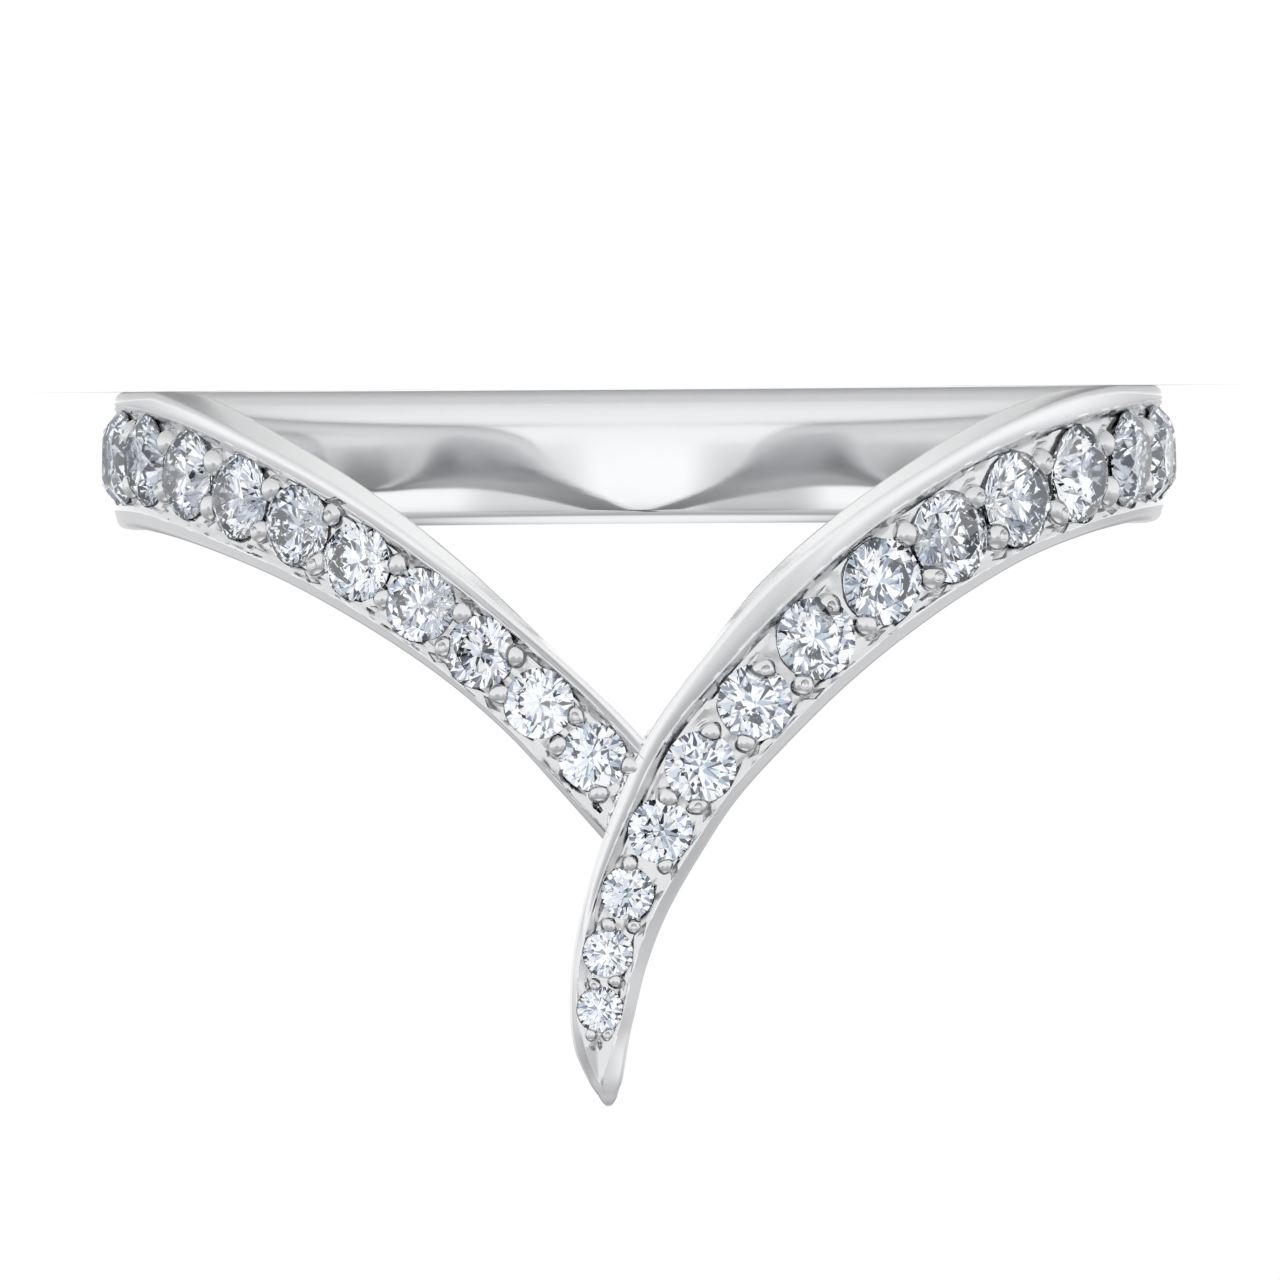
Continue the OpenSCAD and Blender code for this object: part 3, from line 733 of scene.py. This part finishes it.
def brilliant_planes():
    """The planes of a round brilliant of radius 1, girdle at 0, as (point, outward normal)."""
    half, crown, pavilion = GIRDLE, 2 * CROWN, 2 * PAVILION

    def ring_point(r, degrees, h):
        return Vector((r * math.cos(math.radians(degrees)), r * math.sin(math.radians(degrees)), h))

    planes = [(Vector((0, 0, half + crown)), Vector((0, 0, 1)))]

    def through(a, b, c):
        normal = (b - a).cross(c - a).normalized()
        if normal.dot(a) < 0:
            normal = -normal
        planes.append((a, normal))

    # The stars' outer points lie on the main facets, which rise from the girdle to the table
    star_h = half + crown * (1 - STAR_OUT * math.cos(math.radians(HALF_EIGHTH))) / (1 - TABLE)
    low_h = -half - LOWER_DOWN * pavilion
    for k in range(8):
        a = EIGHTH * k
        middle, following = a + HALF_EIGHTH, a + EIGHTH
        table = ring_point(TABLE, a, half + crown)
        star = ring_point(STAR_OUT, middle, star_h)
        through(table, ring_point(TABLE, following, half + crown), star)
        through(table, star, ring_point(STAR_OUT, a - HALF_EIGHTH, star_h))
        through(star, ring_point(1, a, half), ring_point(1, middle, half))
        through(star, ring_point(1, middle, half), ring_point(1, following, half))
        low = ring_point(LOWER_IN, middle, low_h)
        through(low, ring_point(LOWER_IN, a - HALF_EIGHTH, low_h), ring_point(1, a, -half))
        through(low, ring_point(1, a, -half), ring_point(1, middle, -half))
        through(low, ring_point(1, middle, -half), ring_point(1, following, -half))
    return planes


def brilliant_mesh():
    """Cuts a round blank plane by plane."""
    bm = bmesh.new()
    bmesh.ops.create_cone(
        bm, cap_ends=True, segments=BLANK_SIDES, radius1=1, radius2=1, depth=BLANK_DEEP
    )
    for point, normal in brilliant_planes():
        sliced = bmesh.ops.bisect_plane(
            bm, geom=bm.verts[:] + bm.edges[:] + bm.faces[:], dist=CUT_NEAR,
            plane_co=point, plane_no=normal, clear_outer=True,
        )
        edges = [e for e in sliced["geom_cut"] if isinstance(e, bmesh.types.BMEdge)]
        if len(edges) > 2:
            bmesh.ops.contextual_create(bm, geom=edges)
    bmesh.ops.remove_doubles(bm, verts=bm.verts[:], dist=WELD_NEAR)
    bmesh.ops.recalc_face_normals(bm, faces=bm.faces)
    mesh = bpy.data.meshes.new("brilliant")
    bm.to_mesh(mesh)
    bm.free()
    return mesh


def set_stones(word, arm, brilliant, material):
    """Sets an arm's stones, each turned and a little tilted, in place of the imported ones."""
    for k, (place, d) in enumerate(arm.stones, 1):
        node = f"stone_{word}_{k:02d}"
        at, along3, over3, out = spot(arm, place, 0, RAIL_R - GIRDLE_SINK)
        turn = Matrix.Rotation(random.uniform(0, math.pi / 4), 4, "Z")
        tilt_x = Matrix.Rotation(random.uniform(-STONE_TILT, STONE_TILT), 4, "X")
        tilt_y = Matrix.Rotation(random.uniform(-STONE_TILT, STONE_TILT), 4, "Y")
        axes = Matrix.Identity(4)
        for i in range(3):
            axes[i] = (along3[i], over3[i], out[i], at[i] * MM)
        mesh = brilliant.copy()
        mesh.name = node + "_cut"
        mesh.transform(axes @ (tilt_x @ tilt_y) @ turn @ Matrix.Scale(d / 2 * MM, 4))
        mesh.materials.append(material)
        piece = bpy.data.objects.new(node + "_cut", mesh)
        bpy.context.scene.collection.objects.link(piece)
        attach(piece, "root")
        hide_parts(node)


# Nodes

WHITE = (1, 1, 1, 1)


def add_node(tree, kind, values=None, **settings):
    """Adds a node with its settings, and its inputs' values or links by name or number."""
    node = tree.nodes.new("ShaderNode" + kind)
    for name, value in settings.items():
        setattr(node, name, value)
    for name, value in (values or {}).items():
        if isinstance(value, bpy.types.NodeSocket):
            tree.links.new(value, node.inputs[name])
        else:
            node.inputs[name].default_value = value
    return node


def new_material(name, values):
    """A material with one principled shader and its values."""
    material = bpy.data.materials.new(name)
    material.use_nodes = True
    tree = material.node_tree
    tree.nodes.clear()
    shader = add_node(tree, "BsdfPrincipled", values)
    output = add_node(tree, "OutputMaterial", {"Surface": shader.outputs["BSDF"]})
    return material, tree, shader, output


def noise(tree, coords, scale, detail, rough=0.5):
    values = {"Vector": coords, "Scale": scale, "Detail": detail, "Roughness": rough}
    return add_node(tree, "TexNoise", values).outputs["Fac"]


def dot_with(tree, direction, towards):
    """The cosine of the angle between a direction and a fixed one of length 1."""
    node = add_node(tree, "VectorMath", {0: direction, 1: towards}, operation="DOT_PRODUCT")
    return node.outputs["Value"]


def ramp(tree, value, low, high, to_low, to_high, interpolation_type="LINEAR"):
    """Takes a value from the range low to high to another range."""
    values = {
        "Value": value, "From Min": low, "From Max": high, "To Min": to_low, "To Max": to_high,
    }
    return add_node(tree, "MapRange", values, interpolation_type=interpolation_type).outputs["Result"]


def colour_ramp(tree, value, rows, interpolation):
    """A colour by a value, from rows of (position, colour)."""
    node = add_node(tree, "ValToRGB", {"Fac": value})
    node.color_ramp.interpolation = interpolation
    stops = node.color_ramp.elements
    for k, (position, colour) in enumerate(rows):
        stop = stops[k] if k < len(stops) else stops.new(position)
        stop.position = position
        stop.color = colour
    return node.outputs["Color"]


def mixed(tree, factor, first, second):
    return add_node(tree, "MixShader", {"Fac": factor, 1: first, 2: second}).outputs["Shader"]


# Materials

# The finishes of the white gold in the order of the slots: name, brightness, lowest and highest
# roughness, scale of the fine marks, strength of their bump and their height in metres
FINISHES = [
    ("white_gold_polished", 0.855, 0.05, 0.08, 500, 0.05, 0.000002),
    ("white_gold_bright_cut", 0.74, 0.10, 0.24, 4500, 0.5, 0.000008),
    ("white_gold_beads", 0.76, 0.10, 0.20, 4000, 0.3, 0.000006),
    ("white_gold_satin", 0.83, 0.10, 0.15, 900, 0.08, 0.000002),
]
DULLER, BRIGHTER = (0.95, 0.955, 0.965), (1.0, 1.005, 1.015)
CLOUDS, CLOUD_DETAIL = 700, 4.0     # scale and detail at which the two colours mix
MARK_DETAIL, MARK_ROUGH = 5.0, 0.6  # detail of the fine marks' noise, and its own roughness
ROUGH_COARSER = 0.6     # the roughness varies at this share of the marks' scale
NOISE_LOW, NOISE_HIGH = 0.35, 0.7   # the part of the noise that is spread over the roughness


def white_gold(name, light, rough_low, rough_high, grain, strength, depth):
    """Rhodium-plated white gold."""
    material, tree, shader, _ = new_material(name, {"Metallic": 1.0})
    place = add_node(tree, "TexCoord").outputs["Object"]
    colours = {
        "Factor": noise(tree, place, CLOUDS, CLOUD_DETAIL),
        "A": (*(light * part for part in DULLER), 1),
        "B": (*(light * part for part in BRIGHTER), 1),
    }
    colour = add_node(tree, "Mix", colours, data_type="RGBA").outputs["Result"]
    tree.links.new(colour, shader.inputs["Base Color"])
    coarse = noise(tree, place, grain * ROUGH_COARSER, MARK_DETAIL)
    rough = ramp(tree, coarse, NOISE_LOW, NOISE_HIGH, rough_low, rough_high)
    tree.links.new(rough, shader.inputs["Roughness"])
    fine = noise(tree, place, grain, MARK_DETAIL, MARK_ROUGH)
    marks = {"Strength": strength, "Distance": depth, "Height": fine}
    tree.links.new(add_node(tree, "Bump", marks).outputs["Normal"], shader.inputs["Normal"])
    return material


def diamond():
    values = {
        "Transmission Weight": 1.0, "IOR": 2.42, "Roughness": 0.0, "Base Color": (0.985, 0.99, 1.0, 1),
    }
    return new_material("diamond_clear", values)[0]


# The panels that the stones see: share of the cells at which each begins, colour
PANELS = [
    (0.0, (0.03, 0.036, 0.046, 1)),
    (0.19, (0.24, 0.28, 0.35, 1)),
    (0.31, (0.46, 0.52, 0.61, 1)),
    (0.42, (0.74, 0.80, 0.88, 1)),
    (0.56, WHITE),
]
PANEL_SCALE = 8.0
PANEL_LIGHT = 1.27
PALE = (0.84, 0.89, 0.96, 1)
PALE_FROM, PALE_TO, PALE_MOST = 0.85, 0.3, 0.5      # cosines off the front, and share of the pale colour
PANEL_CENTRE = (0, 0, 0.004)    # where the floor's panels are seen from
FLOOR_SIZE = 6.0


def panels_of(tree, direction):
    """What the stones see: bright panels, dark and bluish ones between, paler off the front."""
    cells = add_node(tree, "TexVoronoi", {"Vector": direction, "Scale": PANEL_SCALE})
    pick = add_node(tree, "SeparateColor", {"Color": cells.outputs["Color"]}).outputs["Red"]
    off_front = dot_with(tree, direction, (0, -1, 0))
    paler = {
        "Factor": ramp(tree, off_front, PALE_FROM, PALE_TO, 0.0, PALE_MOST),
        "A": colour_ramp(tree, pick, PANELS, "CONSTANT"),
        "B": PALE,
    }
    return add_node(tree, "Mix", paler, data_type="RGBA").outputs["Result"]


def glowing_paper_floor():
    """White paper with painted light: it glows faintly all over, lifting the shade round the ring, and
    glows in the same panels as round about for rays that come by way of the stones.
    """
    bpy.ops.mesh.primitive_plane_add(size=FLOOR_SIZE, location=(0, 0, 0))
    floor = bpy.context.object
    floor.name = "floor"
    values = {
        # The emission is painted light: an even glow of the paper that lifts the shade beside the ring
        "Base Color": (0.74, 0.74, 0.74, 1), "Roughness": 0.9, "Specular IOR Level": 0.0,
        "Emission Color": WHITE, "Emission Strength": 0.18,
    }
    paper, tree, shader, output = new_material("floor_paper_glowing", values)
    position = add_node(tree, "NewGeometry").outputs["Position"]
    offset = add_node(tree, "VectorMath", {0: position, 1: PANEL_CENTRE}, operation="SUBTRACT")
    direction = add_node(tree, "VectorMath", {0: offset.outputs["Vector"]}, operation="NORMALIZE")
    # Painted light: the paper glows in dark and bright panels, only for rays that come by way of the stones
    panels = {"Color": panels_of(tree, direction.outputs["Vector"]), "Strength": PANEL_LIGHT}
    glow = add_node(tree, "Emission", panels).outputs["Emission"]
    for_stones = add_node(tree, "LightPath").outputs["Is Singular Ray"]
    tree.links.new(mixed(tree, for_stones, shader.outputs["BSDF"], glow), output.inputs["Surface"])
    floor.data.materials.append(paper)


# Light and camera

# Brightness of the tent by degrees above the horizon
TENT_LEVELS = [(7, 0.96), (14, 0.68), (26, 0.56), (46, 0.40), (56, 0.44), (70, 0.85)]
TENT_TOP = (0.92, 0.92, 0.93, 1)
TENT_BLUE = 1.015       # its blue is brighter by this than its red and green
BEHIND, BEHIND_NEAR, BEHIND_FAR = 0.66, 20, 75      # brightness behind, and degrees over which it ends
# A greyer panel to each side of the front: degrees to the side, brightness
SIDE_PANELS = [(31, 0.62), (-29, 0.74)]
SIDE_UP, SIDE_NEAR, SIDE_FAR = 8, 7, 21             # degrees up, and over which a side panel ends
DIRECT, REFLECTED = 1.16, 0.58      # the tent's light straight, and by way of other metal
DIFFUSE_LIGHT = 1.28    # even light for the floor

FOCAL_PX = 12576.0      # focal length in the photograph's pixels
PHOTO_SIDE = 1280.0
SENSOR = 36
DISTANCE = 0.240        # from the ring's axis
EYE = 0.0005            # the camera's height above the floor
RISE = 0.01998          # height at which it looks on the ring's axis, as a share of the distance
ROLL = 0.00698          # radians


def sine(degrees):
    return math.sin(math.radians(degrees))


def cosine(degrees):
    return math.cos(math.radians(degrees))


def lobe(tree, direction, towards, near, far, level):
    """A level within near degrees of a direction, and 1 beyond far degrees."""
    dot = dot_with(tree, direction, Vector(towards).normalized())
    return ramp(tree, dot, cosine(far), cosine(near), 1.0, level, "SMOOTHSTEP")


def times(tree, a, b):
    return add_node(tree, "Math", {0: a, 1: b}, operation="MULTIPLY").outputs["Value"]


def backdrop(tree, colour, strength):
    return add_node(tree, "Background", {"Color": colour, "Strength": strength}).outputs["Background"]


def tent(tree, direction, glossy_depth):
    """The tent round the metal: white at the horizon, grey above, paler overhead, darker behind."""
    height = add_node(tree, "SeparateXYZ", {"Vector": direction}).outputs["Z"]
    rows = [(sine(degrees), (level, level, level * TENT_BLUE, 1)) for degrees, level in TENT_LEVELS]
    colour = colour_ramp(tree, height, [(0.0, WHITE)] + rows + [(1.0, TENT_TOP)], "LINEAR")
    light = lobe(tree, direction, (0, 1, 0), BEHIND_NEAR, BEHIND_FAR, BEHIND)
    # Light that comes by way of other metal is dimmer: the room behind the tent is dark
    light = times(tree, light, ramp(tree, glossy_depth, 1.0, 2.0, DIRECT, REFLECTED))
    for azimuth, level in SIDE_PANELS:
        towards = (sine(azimuth), -cosine(azimuth), sine(SIDE_UP))
        light = times(tree, light, lobe(tree, direction, towards, SIDE_NEAR, SIDE_FAR, level))
    return backdrop(tree, colour, light)


def studio():
    """The world: white in the picture, even light on the floor, a tent for metal, panels for stones."""
    world = bpy.data.worlds.new("studio")
    bpy.context.scene.world = world
    world.use_nodes = True
    tree = world.node_tree
    tree.nodes.clear()
    direction = add_node(tree, "TexCoord").outputs["Generated"]
    ray = add_node(tree, "LightPath").outputs
    sky = tent(tree, direction, ray["Glossy Depth"])
    sky = mixed(tree, ray["Is Diffuse Ray"], sky, backdrop(tree, WHITE, DIFFUSE_LIGHT))
    panels = backdrop(tree, panels_of(tree, direction), PANEL_LIGHT)
    sky = mixed(tree, ray["Is Singular Ray"], sky, panels)
    sky = mixed(tree, ray["Is Camera Ray"], sky, backdrop(tree, WHITE, 1.0))
    add_node(tree, "OutputWorld", {"Surface": sky})


def photo_camera():
    """The photograph's view of the ring, turned over because the ring rests on its upper rim."""
    look_up = math.atan(RISE) - EYE / DISTANCE
    ahead = Vector((0, math.cos(look_up), math.sin(look_up)))
    up = Vector((0, math.sin(look_up), -math.cos(look_up)))
    right = Vector((-1, 0, 0))
    rolled_up = up * math.cos(ROLL) + right * math.sin(ROLL)
    rolled_right = right * math.cos(ROLL) - up * math.sin(ROLL)
    pose = Matrix.Identity(4)
    for i, place in enumerate((0, -DISTANCE, EYE)):
        pose[i] = (rolled_right[i], rolled_up[i], -ahead[i], place)
    camera_data = bpy.data.cameras.new("camera")
    camera = bpy.data.objects.new("camera", camera_data)
    bpy.context.scene.collection.objects.link(camera)
    camera.matrix_world = pose
    camera_data.sensor_width = SENSOR
    camera_data.lens = FOCAL_PX * SENSOR / PHOTO_SIDE
    camera_data.clip_start = 0.001
    camera_data.clip_end = 20
    bpy.context.scene.camera = camera
    bpy.context.scene.view_settings.view_transform = "Standard"


# All of it together

def ring_piece():
    """All the metal: swept, then cut and built up as the setter does."""
    solid, slots = ring_shape()
    ring = made_mesh("ring_metal", solid)
    ring.data.polygons.foreach_set("material_index", slots)
    for finish in FINISHES:
        ring.data.materials.append(white_gold(*finish))
    outwards(ring.data)
    for first in (0, 1):
        combine(ring, "seats", seats(first), "DIFFERENCE", CUT)
    combine(ring, "ridge", ridge(), "UNION", POLISHED)
    for way in (-1, 1):
        beads, gouges = bead_row(way)
        combine(ring, "gouges", gouges, "DIFFERENCE", CUT)
        combine(ring, "beads", beads, "UNION", BEADED)
    outwards(ring.data)
    ring.data.name = "ring_metal"
    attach(ring, "root")
    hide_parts("ring_band")


ring_piece()
random.seed(5)
brilliant, clear = brilliant_mesh(), diamond()
set_stones("short", SHORT, brilliant, clear)
set_stones("long", LONG, brilliant, clear)
glowing_paper_floor()
studio()
photo_camera()
